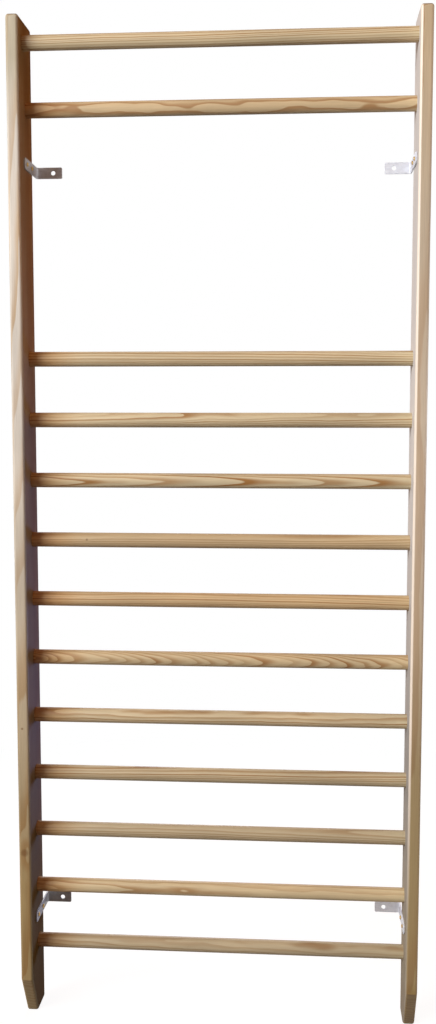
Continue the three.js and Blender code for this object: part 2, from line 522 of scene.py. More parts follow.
@dataclass(frozen=True)
class LacqueredPine:
    """Planed pine under a thin satin lacquer.

    The eye gets pale early wood, amber late wood that darkens slowly and ends sharply at each year, arches
    where the face runs across the years, darker ends where the lacquer sinks in, and a soft sheen.
    """

    early: str = "#d7caa7"
    late: str = "#9e723c"
    heart: str = "#c0905a"
    knot: str = "#7d5530"
    knot_rim: str = "#5e3d20"
    end: str = "#7f6c55"
    # How far the pith wanders and the years ripple, over which length along the grain, and how many times
    # narrower these waves are across it.
    wander_mm: float = 14.0
    wander_length_mm: float = 650.0
    ripple_mm: float = 1.6
    ripple_length_mm: float = 90.0
    wave_stretch: float = 4.0
    # The years' widths vary over a few years. Within one year late wood starts, is full and has ended at
    # these shares of it, and the faintest year has this much of it beside the boldest.
    uneven_years: float = 2.4
    late_start: float = 0.3
    late_full: float = 0.92
    late_end: float = 0.93
    faintest: float = 0.35
    heart_radius_mm: float = 55.0
    heart_share: float = 0.45
    blotch_length_mm: float = 260.0
    blotch_stretch: float = 6.0
    blotch_tones: Span = (0.86, 1.1)
    # Real fibres are finer than a pixel, so they are drawn coarse enough to show as streaks.
    fibre_mm: float = 2.0
    fibre_length_mm: float = 60.0
    fibre_detail: float = 2.0
    fibre_tones: Span = (0.92, 1.06)
    # Where nearly all the values of such a figure lie.
    figure_span: Span = (0.25, 0.75)
    # End grain shows from the first to the second of these shares of facing squarely along the grain.
    end_span: Span = (0.35, 0.85)
    end_share: float = 0.8
    # Knots have their rim and their middle at these distances, in their own radii. The rings swell round
    # them by a share of the radius, drawn out along the grain.
    rim_span: Span = (1.4, 0.8)
    knot_span: Span = (0.95, 0.4)
    swell_span: Span = (3.2, 0.4)
    swell_share: float = 0.8
    knot_flow: float = 2.6
    relief: float = 0.12 * MM
    late_relief: float = 0.6
    roughness: float = 0.44
    roughness_swing: Span = (0.08, -0.06)
    # The lacquer is rubbed matt: its gloss fades at a glancing view instead of growing.
    sheen_level: float = 0.4
    sheen_span: Span = (0.3, 0.7)

    def material(self, name: str, centre: Vector, along: Vector, sawn: Sawn) -> Material:
        """Make the pine of one piece.

        Args:
            name: the material's name.
            centre: the middle of the piece.
            along: the unit vector that the grain follows, X or Z.
            sawn: how the piece lay in its log.

        Returns:
            The material.
        """
        material = empty_material(name)
        tree = material.node_tree
        coordinates = add_node(tree, "TexCoord", {}).outputs
        wood = Blank(tree, coordinates["Object"], coordinates["Normal"], centre, along, sawn)
        grain = self._log_space(wood)
        distances, push = self._knots(wood)
        late, radius = self._years(wood, grain, push)
        fibre = self._figure(tree, grain, self.fibre_length_mm, self.fibre_mm, self.fibre_detail)
        colour = self._colour(wood, grain, late, radius, fibre)
        colour = self._wear(wood, colour)
        colour = self._ends(wood, colour)
        colour = self._stain_knots(wood, colour, distances)
        relief = add_node(tree, "Math", {0: late, 1: self.late_relief, 2: fibre}, operation="MULTIPLY_ADD")
        bump = add_node(tree, "Bump", {"Strength": 1.0, "Distance": self.relief, "Height": relief})
        valley, ridge = (self.roughness + swing for swing in self.roughness_swing)
        rough = add_node(tree, "MapRange", {"Value": relief, "To Min": valley, "To Max": ridge})
        glance = add_node(tree, "LayerWeight", {}).outputs["Facing"]
        start, end = self.sheen_span
        fade = {"From Min": start, "From Max": end, "To Min": self.sheen_level, "To Max": 0.0}
        gloss = add_node(tree, "MapRange", {"Value": glance, **fade})
        lacquer = {"Base Color": colour, "Roughness": rough, "Specular IOR Level": gloss, "Normal": bump}
        shader = add_node(tree, "BsdfPrincipled", lacquer)
        add_node(tree, "OutputMaterial", {"Surface": shader})
        return material

    def _log_space(self, wood: Blank) -> Node:
        """Turn the piece's own place into millimetres in its log, with X along the pith.

        Args:
            wood: the piece.

        Returns:
            The node that gives the place in the log.
        """
        sawn = wood.sawn
        centre = wood.centre
        turn = Euler((0, QUARTER_TURN if wood.upright else 0, 0)).to_matrix()
        lean = Euler((0, math.radians(sawn.drift_deg), math.radians(sawn.slope_deg))).to_matrix()
        rotation = lean @ turn
        across, into = sawn.cut.value
        pith = Vector((0, across, into)) if wood.upright else Vector((0, into, across))
        location = -(rotation @ centre) / MM - pith * sawn.pith_mm
        # Every piece comes from another stretch of a log, which its place in the part chooses.
        location.x += PER_MM * (centre.x + 2 * centre.z)
        inputs = {"Vector": wood.place, "Location": location, "Rotation": rotation.to_euler()}
        return add_node(wood.tree, "Mapping", {**inputs, "Scale": (PER_MM, PER_MM, PER_MM)})

    def _figure(
        self, tree: NodeTree, grain: Feed, length_mm: float, width_mm: float, detail: float = 1.0
    ) -> Node:
        """Draw a random figure that is stretched along the grain.

        Args:
            tree: the node tree.
            grain: the place in the log.
            length_mm: its size along the grain.
            width_mm: its size across the grain.
            detail: its finer octaves.

        Returns:
            The node that gives the figure.
        """
        scale = (1 / length_mm, 1 / width_mm, 1 / width_mm)
        stretched = add_node(tree, "VectorMath", {0: grain, 1: scale}, operation="MULTIPLY")
        return add_node(tree, "TexNoise", {"Vector": stretched, "Scale": 1.0, "Detail": detail})

    def _years(self, wood: Blank, grain: Feed, push: Feed | None) -> tuple[Node, Node]:
        """Draw the year rings round a pith that wanders.

        Args:
            wood: the piece.
            grain: the place in the log.
            push: how far the knots push the rings aside, in millimetres.

        Returns:
            The share of late wood, and the radius in the log.
        """
        tree = wood.tree
        sawn = wood.sawn
        bent = grain
        wander = (self.wander_mm, self.wander_length_mm)
        ripple = (self.ripple_mm * sawn.flame, self.ripple_length_mm)
        for reach, length in (wander, ripple):
            wave = self._figure(tree, grain, length, length / self.wave_stretch).outputs["Color"]
            swing = {0: wave, 1: (0, reach, reach), 2: (0, -reach / 2, -reach / 2)}
            sway = add_node(tree, "VectorMath", swing, operation="MULTIPLY_ADD")
            bent = add_node(tree, "VectorMath", {0: bent, 1: sway}, operation="ADD")
        section = add_node(tree, "VectorMath", {0: bent, 1: (0, 1, 1)}, operation="MULTIPLY")
        radius = add_node(tree, "VectorMath", {0: section}, operation="LENGTH")
        if push is not None:
            radius = add_node(tree, "Math", {0: radius, 1: push}, operation="ADD")
        spread = {"W": radius, "Scale": 1 / (self.uneven_years * sawn.ring_mm), "Detail": 0.0}
        uneven = add_node(tree, "TexNoise", spread, noise_dimensions="1D")
        count = {0: radius, 1: 1 / sawn.ring_mm, 2: uneven}
        years = add_node(tree, "Math", count, operation="MULTIPLY_ADD")
        season = add_node(tree, "Math", {0: years}, operation="FRACT")
        ramps = []
        for start, end in ((self.late_start, self.late_full), (self.late_end, 1.0)):
            turn = {"Value": season, "From Min": start, "From Max": end}
            ramps.append(add_node(tree, "MapRange", turn, interpolation_type="SMOOTHSTEP"))
        band = add_node(tree, "Math", {0: ramps[0], 1: ramps[1]}, operation="SUBTRACT")
        year = add_node(tree, "Math", {0: years}, operation="FLOOR")
        luck = add_node(tree, "TexWhiteNoise", {"W": year}, noise_dimensions="1D")
        weights = {"Value": luck, "To Min": self.faintest * sawn.bold, "To Max": sawn.bold}
        weight = add_node(tree, "MapRange", weights)
        late = add_node(tree, "Math", {0: band, 1: weight}, operation="MULTIPLY")
        return late, radius

    def _colour(self, wood: Blank, grain: Feed, late: Feed, radius: Feed, fibre: Feed) -> Node:
        """Colour the wood from its years, its heart, its blotches and its fibres.

        Args:
            wood: the piece.
            grain: the place in the log.
            late: the share of late wood.
            radius: the radius in the log.
            fibre: the streaks.

        Returns:
            The node that gives the colour.
        """
        tree = wood.tree
        seasons = {"Factor": late, "A": linear(self.early), "B": linear(self.late)}
        years = add_node(tree, "Mix", seasons, data_type="RGBA")
        edge = self.heart_radius_mm
        inwards = {"From Min": edge, "From Max": edge / 2, "To Max": self.heart_share}
        inside = add_node(tree, "MapRange", {"Value": radius, **inwards}, interpolation_type="SMOOTHSTEP")
        blend = {"Factor": inside, "A": years, "B": linear(self.heart)}
        heart = add_node(tree, "Mix", blend, data_type="RGBA")
        length = self.blotch_length_mm
        blotch = self._figure(tree, grain, length, length / self.blotch_stretch)
        low, high = self.figure_span
        figures = ((blotch, self.blotch_tones, wood.sawn.tone), (fibre, self.fibre_tones, 1.0))
        shades = []
        for figure, (dark, pale), tone in figures:
            tones = {"From Min": low, "From Max": high, "To Min": dark * tone, "To Max": pale * tone}
            shades.append(add_node(tree, "MapRange", {"Value": figure, **tones}))
        both = add_node(tree, "Math", {0: shades[0], 1: shades[1]}, operation="MULTIPLY")
        toned = add_node(tree, "VectorMath", {0: heart, "Scale": both}, operation="SCALE")
        tint = linear(wood.sawn.tint)[:3]
        return add_node(tree, "VectorMath", {0: toned, 1: tint}, operation="MULTIPLY")

    def _wear(self, wood: Blank, colour: Node) -> Node:
        """Leave the wood as it is. Other finishes darken it and paint light and shade on it here."""
        return colour

    def _ends(self, wood: Blank, colour: Node) -> Node:
        """Darken the end grain, where the lacquer sinks in.

        Args:
            wood: the piece.
            colour: the colour so far.

        Returns:
            The node that gives the colour.
        """
        tree = wood.tree
        facing = add_node(tree, "VectorMath", {0: wood.normal, 1: wood.along}, operation="DOT_PRODUCT")
        squarely = add_node(tree, "Math", {0: facing}, operation="ABSOLUTE")
        start, full = self.end_span
        soak = {"Value": squarely, "From Min": start, "From Max": full, "To Max": self.end_share}
        share = add_node(tree, "MapRange", soak, interpolation_type="SMOOTHSTEP")
        darkened = {"Factor": share, "A": colour, "B": linear(self.end)}
        return add_node(tree, "Mix", darkened, data_type="RGBA")

    def _knots(self, wood: Blank) -> tuple[list[Node], Node | None]:
        """Measure how near each knot is, and how far the knots push the rings aside.

        Args:
            wood: the piece.

        Returns:
            For each knot the distance from its middle in its own radii, and the push in millimetres.
        """
        tree = wood.tree
        distances: list[Node] = []
        push: Node | None = None
        far, near = self.swell_span
        for knot in wood.sawn.knots:
            middle = Vector((knot.x_mm, 0, knot.z_mm)) * MM
            radius = knot.radius_mm * MM
            lengths = []
            for flow in (1.0, self.knot_flow):
                span = Vector((1, 0, 1 / flow) if wood.upright else (1 / flow, 0, 1)) / radius
                shift = {0: wood.place, 1: span, 2: -(span * middle)}
                offset = add_node(tree, "VectorMath", shift, operation="MULTIPLY_ADD")
                lengths.append(add_node(tree, "VectorMath", {0: offset}, operation="LENGTH"))
            distances.append(lengths[0])
            bulge = self.swell_share * knot.radius_mm * knot.darkening
            approach = {"Value": lengths[1], "From Min": far, "From Max": near, "To Max": bulge}
            swell = add_node(tree, "MapRange", approach, interpolation_type="SMOOTHERSTEP")
            push = swell if push is None else add_node(tree, "Math", {0: push, 1: swell}, operation="ADD")
        return distances, push

    def _stain_knots(self, wood: Blank, colour: Node, distances: Sequence[Node]) -> Node:
        """Colour each knot brown inside a darker rim.

        Args:
            wood: the piece.
            colour: the colour so far.
            distances: for each knot the distance from its middle in its own radii.

        Returns:
            The node that gives the colour.
        """
        tree = wood.tree
        for knot, distance in zip(wood.sawn.knots, distances):
            for hex_colour, (outer, inner) in ((self.knot_rim, self.rim_span), (self.knot, self.knot_span)):
                ring = {"Value": distance, "From Min": outer, "From Max": inner, "To Max": knot.darkening}
                share = add_node(tree, "MapRange", ring, interpolation_type="SMOOTHSTEP")
                tinted = {"Factor": share, "A": colour, "B": linear(hex_colour)}
                colour = add_node(tree, "Mix", tinted, data_type="RGBA")
        return colour


@dataclass(frozen=True)
class HandledPine(LacqueredPine):
    """The lacquered pine of the rungs.

    The eye gets a warmer, darker end by the left post: painted warm shade, for the post's shade and the
    warm light that bounces between them. The top rung has none of it and is pale from end to end.
    """

    # Painted warm shade: it deepens from the first X to the second, and fades out between these two
    # heights.
    painted_warm_shade: str = "#ffe8cc"
    amber_from: float = -290 * MM
    painted_warm_shade_to: float = -410 * MM
    unshaded_from: float = 2090 * MM
    unshaded_to: float = 2150 * MM

    def _wear(self, wood: Blank, colour: Node) -> Node:
        """Paint warm shade on the end by the left post.

        Args:
            wood: the piece.
            colour: the colour so far.

        Returns:
            The node that gives the colour.
        """
        tree = wood.tree
        place = add_node(tree, "SeparateXYZ", {0: wood.place}).outputs
        upwards = {"From Min": self.unshaded_from, "From Max": self.unshaded_to, "To Min": 1.0, "To Max": 0.0}
        reach = add_node(tree, "MapRange", {"Value": place["Z"], **upwards})
        ends = {"From Min": self.amber_from, "From Max": self.painted_warm_shade_to, "To Max": reach}
        share = add_node(tree, "MapRange", {"Value": place["X"], **ends}, interpolation_type="SMOOTHSTEP")
        warm_shaded = {"Factor": share, "A": colour, "B": linear(self.painted_warm_shade)}
        return add_node(tree, "Mix", warm_shaded, data_type="RGBA", blend_type="MULTIPLY")


@dataclass(frozen=True)
class HeightBand:
    """A colour at one height of a face: its colour, and how much of the wood it covers."""

    height_mm: float
    colour: str
    share: float = 1.0


@dataclass(frozen=True)
class WornPine(LacqueredPine):
    """The lacquered pine of a post, with painted light on it.

    The eye gets a brown tint in front that deepens towards the floor, in part painted shade, painted shade
    and painted reflection on the inner face, and a painted highlight on the inner front arris, which fades
    out near the floor. Inward is the sign of X that the inner face looks towards.
    """

    inward: float = 1.0
    darkening: tuple[HeightBand, ...] = ()
    dust: tuple[HeightBand, ...] = ()
    # The painted shade and reflection start and are full where a face looks inwards by these shares.
    dust_span: Span = (0.3, 0.9)
    # A painted highlight on the inner front arris, where the soft box's gloss would shine. It fades in
    # between these heights.
    painted_highlight: str = "#fff6e6"
    highlight_share: float = 0.0
    highlight_from: float = 250 * MM
    highlight_to: float = 700 * MM
    # The arris is where a face looks inwards and forwards at once: the product of the two shares.
    arris_span: Span = (-0.05, -0.35)
    full_height: float = 2400 * MM

    def _wear(self, wood: Blank, colour: Node) -> Node:
        """Darken the post by height, and paint shade, reflection and an arris highlight on it.

        Args:
            wood: the piece.
            colour: the colour so far.

        Returns:
            The node that gives the colour.
        """
        tree = wood.tree
        place = add_node(tree, "SeparateXYZ", {0: wood.place}).outputs
        facing = add_node(tree, "SeparateXYZ", {0: wood.normal}).outputs
        height = add_node(tree, "MapRange", {"Value": place["Z"], "From Max": self.full_height})
        # Darker towards the floor and near the top, in part painted shade, as on the right post's foot
        # bevel.
        darkening = {"Factor": 1.0, "A": colour, "B": self._blend_height_bands(tree, height, self.darkening)}
        tinted = add_node(tree, "Mix", darkening, data_type="RGBA", blend_type="MULTIPLY")
        # Painted shade and painted reflection on the inner face, whose wood is the same pine as the front.
        dust = self._blend_height_bands(tree, height, self.dust)
        start, full = (self.inward * share for share in self.dust_span)
        inwards = {"From Min": start, "From Max": full, "To Max": dust.outputs["Alpha"]}
        inner = add_node(tree, "MapRange", {"Value": facing["X"], **inwards})
        with_painted_inner_face = add_node(tree, "Mix", {"Factor": inner, "A": tinted, "B": dust}, data_type="RGBA")
        # Painted highlight on the inner front arris.
        slant = add_node(tree, "Math", {0: facing["X"], 1: facing["Y"]}, operation="MULTIPLY")
        upwards = {"From Min": self.highlight_from, "From Max": self.highlight_to, "To Max": self.highlight_share}
        reach = add_node(tree, "MapRange", {"Value": place["Z"], **upwards})
        start, full = (self.inward * share for share in self.arris_span)
        across = {"From Min": start, "From Max": full, "To Max": reach}
        share = add_node(tree, "MapRange", {"Value": slant, **across})
        highlighted = {"Factor": share, "A": with_painted_inner_face, "B": linear(self.painted_highlight)}
        return add_node(tree, "Mix", highlighted, data_type="RGBA")

    def _blend_height_bands(self, tree: NodeTree, height: Feed, height_bands: Sequence[HeightBand]) -> Node:
        """Blend colour bands from one height to the next.

        Args:
            tree: the node tree.
            height: the height above the floor, as a share of the full height.
            height_bands: the bands from the floor up.

        Returns:
            A colour ramp whose alpha is the share that is covered.
        """
        ramp = add_node(tree, "ValToRGB", {0: height})
        stops = ramp.color_ramp.elements
        while len(stops) < len(height_bands):
            stops.new(1.0)
        for stop, film in zip(stops, height_bands):
            stop.position = film.height_mm * MM / self.full_height
            stop.color = (*linear(film.colour)[:3], film.share)
        return ramp


@dataclass(frozen=True)
class ZincPlate:
    """Mild steel strip with a bright zinc plating.

    The eye gets a pale blue-grey metal with a soft, slightly cloudy gleam and fine rolling lines. Most of
    the metal lies under the zinc's own white bloom, which is matt.
    """

    bright: str = "#dcdfe4"
    dull: str = "#bcbfc6"
    bloom: float = 0.9
    cloud_mm: float = 7.0
    cloud_detail: float = 3.0
    cloud_weight: float = 0.7
    # Rolling lines are finer than a pixel, so they are drawn coarse enough to show.
    line_mm: float = 0.9
    line_length_mm: float = 25.0
    line_detail: float = 2.0
    line_relief: float = 0.04 * MM
    line_strength: float = 0.6
    # The plating is dull and bright at these sums of clouds and lines.
    gleam_span: Span = (0.55, 1.15)
    roughness: float = 0.46
    roughness_swing: Span = (0.1, -0.06)

    def material(self, name: str) -> Material:
        """Make the plating.

        Args:
            name: the material's name.

        Returns:
            The material.
        """
        material = empty_material(name)
        tree = material.node_tree
        place = add_node(tree, "TexCoord", {}).outputs["Object"]
        clouds = {"Vector": place, "Scale": 1 / (self.cloud_mm * MM), "Detail": self.cloud_detail}
        cloud = add_node(tree, "TexNoise", clouds)
        along = 1 / (self.line_length_mm * MM)
        across = 1 / (self.line_mm * MM)
        drawn = add_node(tree, "Mapping", {"Vector": place, "Scale": (along, along, across)})
        lines = add_node(tree, "TexNoise", {"Vector": drawn, "Scale": 1.0, "Detail": self.line_detail})
        blend = add_node(tree, "Math", {0: cloud, 1: self.cloud_weight, 2: lines}, operation="MULTIPLY_ADD")
        low, high = self.gleam_span
        share = add_node(tree, "MapRange", {"Value": blend, "From Min": low, "From Max": high})
        shades = {"Factor": share, "A": linear(self.dull), "B": linear(self.bright)}
        colour = add_node(tree, "Mix", shades, data_type="RGBA")
        dull, bright = (self.roughness + swing for swing in self.roughness_swing)
        rough = add_node(tree, "MapRange", {"Value": share, "To Min": dull, "To Max": bright})
        ridges = {"Strength": self.line_strength, "Distance": self.line_relief, "Height": lines}
        bump = add_node(tree, "Bump", ridges)
        coat = {"Base Color": colour, "Metallic": 1 - self.bloom, "Roughness": rough, "Normal": bump}
        shader = add_node(tree, "BsdfPrincipled", coat)
        add_node(tree, "OutputMaterial", {"Surface": shader})
        return material


@dataclass(frozen=True)
class YellowZinc:
    """Hardened steel screws with a yellow-passivated zinc coat.

    The eye gets a brassy metal whose film drifts from straw to a dull copper.
    """

    straw: str = "#c2a05c"
    copper: str = "#8f6a45"
    film_mm: float = 2.2
    film_detail: float = 3.0
    film_span: Span = (0.3, 0.7)
    roughness: float = 0.34
    roughness_swing: float = 0.12

    def material(self, name: str) -> Material:
        """Make the passivated coat.

        Args:
            name: the material's name.

        Returns:
            The material.
        """
        material = empty_material(name)
        tree = material.node_tree
        place = add_node(tree, "TexCoord", {}).outputs["Object"]
        drift = {"Vector": place, "Scale": 1 / (self.film_mm * MM), "Detail": self.film_detail}
        film = add_node(tree, "TexNoise", drift)
        low, high = self.film_span
        share = add_node(tree, "MapRange", {"Value": film, "From Min": low, "From Max": high})
        shades = {"Factor": share, "A": linear(self.straw), "B": linear(self.copper)}
        colour = add_node(tree, "Mix", shades, data_type="RGBA")
        roughest = self.roughness + self.roughness_swing
        rough = add_node(tree, "MapRange", {"Value": share, "To Min": self.roughness, "To Max": roughest})
        coat = {"Base Color": colour, "Metallic": 1.0, "Roughness": rough}
        shader = add_node(tree, "BsdfPrincipled", coat)
        add_node(tree, "OutputMaterial", {"Surface": shader})
        return material


# Sub-assemblies.


@dataclass
class Screw:
    """A screw modelled with its head at the origin, facing +Z, and its point on -Z.

    Its head is countersunk, or a pan head where it has a crown.
    """

    name: str
    head_radius: float
    shank_radius: float
    length: float
    head_height: float
    rim: float
    tip: float
    crown_radius: float = 0.0
    # Where the dome's shoulder is, as shares of the way out from the crown and up from the rim.
    shoulder_out: float = 0.72
    shoulder_up: float = 0.62
    blunt_share: float = 0.1
    facets: int = 32
    recess_reach: float = 2.7 * MM
    recess_width: float = 0.9 * MM
    recess_depth: float = 1.5 * MM
    recess_taper: float = 0.55

    def build(self) -> Object:
        """Model the screw.

        Returns:
            The pattern that the copies are taken from.
        """
        screw = self._domed() if self.crown_radius else self.countersunk()
        for quarter in range(2):
            cut_away(screw, self._recess_blade(quarter))
        mend(screw)
        smooth(screw)
        return screw

    def countersunk(self) -> Object:
        """Model a flat head that narrows into the shank.

        Returns:
            The screw without its recess.
        """
        screw = self._disc(0)
        with edit_mode(screw):
            pick(screw, Element.FACE, all_at(2, -self.rim))
            self._draw(self.head_radius, [(self.rim - self.head_height, self.shank_radius), *self._point()])
        return screw

    def _domed(self) -> Object:
        """Model a pan head with a rounded crown on a shank.

        Returns:
            The screw without its recess.
        """
        dome = self.head_height - self.rim
        screw = self._disc(-dome)
        with edit_mode(screw):
            pick(screw, Element.FACE, all_at(2, -dome))
            shoulder = self.crown_radius + self.shoulder_out * (self.head_radius - self.crown_radius)
            rise = self.shoulder_up * dome
            self._draw(self.head_radius, [(rise, shoulder), (dome - rise, self.crown_radius)])
            pick(screw, Element.FACE, all_at(2, -self.head_height))
            self._draw(self.head_radius, [(0.0, self.shank_radius), *self._point()])
        return screw

    def _disc(self, top: float) -> Object:
        """Start the screw as the rim of its head.

        Args:
            top: the height of the rim's upper face.

        Returns:
            A disc.
        """
        bpy.ops.object.select_all(action="DESELECT")
        middle = (0, 0, top - self.rim / 2)
        bpy.ops.mesh.primitive_cylinder_add(
            vertices=self.facets, radius=self.head_radius, depth=self.rim, location=middle
        )
        return settle(named(self.name))

    def _draw(self, start_radius: float, steps: Sequence[Span]) -> None:
        """Extrude the selected end face along Z, step by step, to new radii.

        Args:
            start_radius: the radius of the selected face.
            steps: for each step how far it goes along Z and the radius it ends at.
        """
        radius = start_radius
        for rise, end_radius in steps:
            bpy.ops.mesh.extrude_region_move(TRANSFORM_OT_translate={"value": (0, 0, rise)})
            ratio = end_radius / radius
            bpy.ops.transform.resize(value=(ratio, ratio, 1), center_override=(0, 0, 0))
            radius = end_radius

    def _point(self) -> list[Span]:
        """The shank's steps for _draw(), from under the head to the point."""
        shank = self.length - self.head_height - self.tip
        return [(-shank, self.shank_radius), (-self.tip, self.blunt_share * self.shank_radius)]

    def _recess_blade(self, quarter: int) -> Object:
        """One of the two tapered blades that cut the cross recess.

        Args:
            quarter: how many quarter turns the blade is turned.

        Returns:
            The blade.
        """
        reach = Vector((self.recess_reach, self.recess_width / 2, self.recess_depth))
        blade = block("recess_blade", -reach, reach)
        with edit_mode(blade):
            pick(blade, Element.FACE, all_at(2, -self.recess_depth))
            bpy.ops.transform.resize(
                value=(self.recess_taper, self.recess_taper, 1), center_override=(0, 0, -self.recess_depth)
            )
        blade.rotation_euler.z = quarter * QUARTER_TURN
        return settle(blade)


@dataclass
class Rungs:
    """The oval bars, their seats in the posts and the screws that hold them."""

    count: int = 13
    facets: int = 64
    end_ease: float = 1 * MM
    seat_gap: float = 0.3 * MM
    hole_gap: float = 0.3 * MM
    hole_mouth: float = 3 * MM
    screw_head_height: float = 3.2 * MM
    screw_rim: float = 0.5 * MM
    screw_shank_radius: float = 2.5 * MM
    screw_tip: float = 5 * MM
    # From one screw to the next the recesses turn on, as if driven by hand.
    golden_turn: float = math.radians(137.5)

    def node(self, index: int) -> str:
        """The frame's node of a rung, counted from the top."""
        return f"rung_{index + 1:02d}"

    def screw_node(self, side: Side, index: int) -> str:
        """The frame's node of a rung's screw."""
        return f"rung_screw_{side.label}_{index + 1:02d}"

    def centre(self, index: int) -> Vector:
        """The middle of a rung."""
        low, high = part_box(self.node(index))
        return (low + high) / 2

    def seat_cutters(self, side: Side) -> Object:
        """Bars that cut all the seats of one post.

        Args:
            side: the post's side.

        Returns:
            One object that holds all the bars.
        """
        grow = Vector((0, self.seat_gap, self.seat_gap))
        bars = []
        for index in range(self.count):
            low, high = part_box(self.node(index))
            reach = side.value * (high.x + self.seat_gap)
            low.x, high.x = sorted((reach / 2, reach))
            bars.append(round_bar("seat_cutter", low - grow, high + grow, self.facets))
        return joined(bars)

    def screw_cutters(self, side: Side) -> Object:
        """Cones and bores that sink all the screws of one post.

        Args:
            side: the post's side.

        Returns:
            One object that holds all the cutters.
        """
        pattern = self._hole_pattern()
        cutters = []
        for index in range(self.count):
            place = screw_place(self.screw_node(side, index), side.value, 0.0)
            cutters.append(copy_of(pattern, "screw_cutter", place))
        discard(pattern)
        return joined(cutters)

    def _screw(self) -> Screw:
        """Take the wood screw's outer sizes from the frame.

        Returns:
            The screw.
        """
        low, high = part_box(self.screw_node(Side.RIGHT, 0))
        return Screw(
            "wood_screw",
            head_radius=(high.z - low.z) / 2,
            shank_radius=self.screw_shank_radius,
            length=high.x - low.x,
            head_height=self.screw_head_height,
            rim=self.screw_rim,
            tip=self.screw_tip,
        )

    def _hole_pattern(self) -> Object:
        """The space that one screw needs, with its mouth above the origin.

        Returns:
            A cutter that faces +Z.
        """
        screw = self._screw()
        cutter = replace(
            screw,
            name="screw_hole",
            head_radius=screw.head_radius + self.hole_gap,
            shank_radius=screw.shank_radius + self.hole_gap,
            length=screw.length + self.hole_gap,
        ).countersunk()
        with edit_mode(cutter):
            pick(cutter, Element.FACE, all_at(2, 0))
            bpy.ops.mesh.extrude_region_move(TRANSFORM_OT_translate={"value": (0, 0, self.hole_mouth)})
        return cutter

    def build(self, finish: LacqueredPine, logs: Sequence[Sawn], steel: Material) -> None:
        """Model and dress the rungs and their screws.

        Args:
            finish: the wood's finish.
            logs: how each rung was sawn, from the top.
            steel: the screws' finish.
        """
        low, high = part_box(self.node(0))
        bar = round_bar("rung_pattern", low, high, self.facets)
        with edit_mode(bar):
            pick(bar, Element.EDGE, lambda ends: all(abs(abs(end.x) - high.x) < TOUCH for end in ends))
            bpy.ops.mesh.bevel(offset=self.end_ease, segments=EASE_SEGMENTS)
        for side in Side:
            hole = self._hole_pattern()
            hole.matrix_world = screw_place(self.screw_node(side, 0), side.value, 0.0)
            cut_away(bar, settle(hole))
        smooth(bar)
        for index in range(self.count):
            node = self.node(index)
            centre = self.centre(index)
            rung = copy_of(bar, f"{node}_bar", Matrix.Translation(centre - self.centre(0)))
            wood = finish.material(f"lacquered_pine_{node}", centre, Vector((1, 0, 0)), logs[index])
            fit(rung, node, wood)
        discard(bar)
        pattern = self._screw().build()
        for side in Side:
            for index in range(self.count):
                node = self.screw_node(side, index)
                place = screw_place(node, side.value, index * self.golden_turn)
                fit(copy_of(pattern, f"{node}_steel", place), node, steel)
        discard(pattern)


@dataclass
class Post:
    """A board on edge with rounded arrises, a long bevel at its foot, seats and screw holes."""

    side: Side
    arris_radius: float = 6 * MM
    corner_radius: float = 8 * MM
    foot_bevel_depth: float = 55 * MM
    foot_bevel_height: float = 100 * MM
    foot_ease: float = 1 * MM
    foot_ease_deg: float = 25
    round_segments: int = 6

    @property
    def node(self) -> str:
        """The frame's node of this post."""
        return f"{self.side.label}_post"

    def build(self, finish: LacqueredPine, sawn: Sawn, cutters: Sequence[Object]) -> None:
        """Model and dress the post.

        Args:
            finish: the wood's finish.
            sawn: how the board lay in its log.
            cutters: the objects that cut its seats and holes.
        """
        low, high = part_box(self.node)
        board = block(f"{self.node}_board", low, high)
        with edit_mode(board):
            self._cut_foot(low)
            self._round_corners(board, low, high)
            self._round_arrises(board, low, high)
        ease_edges(board, self.foot_ease, self.foot_ease_deg)
        for cutter in cutters:
            cut_away(board, cutter)
        mend(board)
        smooth(board)
        wood = finish.material(f"lacquered_pine_{self.node}", (low + high) / 2, Vector((0, 0, 1)), sawn)
        fit(board, self.node, wood)

    def _cut_foot(self, low: Vector) -> None:
        """Cut the long bevel at the front of the foot.

        Args:
            low: the board's lowest corner.
        """
        bpy.ops.mesh.select_all(action="SELECT")
        bpy.ops.mesh.bisect(
            plane_co=(0, low.y + self.foot_bevel_depth, low.z),
            plane_no=(0, -self.foot_bevel_height, -self.foot_bevel_depth),
            use_fill=True,
            clear_outer=True,
        )

    def _round_corners(self, board: Object, low: Vector, high: Vector) -> None:
        """Round the corners of the side view at the top and at the rear of the foot.

        Args:
            board: the board in edit mode.
            low: its lowest corner.
            high: its highest corner.
        """

        def corner(ends: list[Vector]) -> bool:
            """Tell the edges of these corners from the others.

            Args:
                ends: the two ends of an edge.

            Returns:
                Whether it crosses the board at the top or at the heel.
            """
            level = abs(ends[0].z - ends[1].z) < TOUCH
            crosses = abs(ends[0].x - ends[1].x) > TOUCH
            at_top = abs(ends[0].z - high.z) < TOUCH
            at_heel = abs(ends[0].z - low.z) < TOUCH and abs(ends[0].y - high.y) < TOUCH
            return level and crosses and (at_top or at_heel)

        pick(board, Element.EDGE, corner)
        bpy.ops.mesh.bevel(offset=self.corner_radius, segments=self.round_segments)

    def _round_arrises(self, board: Object, low: Vector, high: Vector) -> None:
        """Round the arrises along both faces.

        Args:
            board: the board in edit mode.
            low: its lowest corner.
            high: its highest corner.
        """
        on_low = all_at(0, low.x)
        on_high = all_at(0, high.x)
        pick(board, Element.EDGE, lambda ends: on_low(ends) or on_high(ends))
        bpy.ops.mesh.bevel(offset=self.arris_radius, segments=self.round_segments)


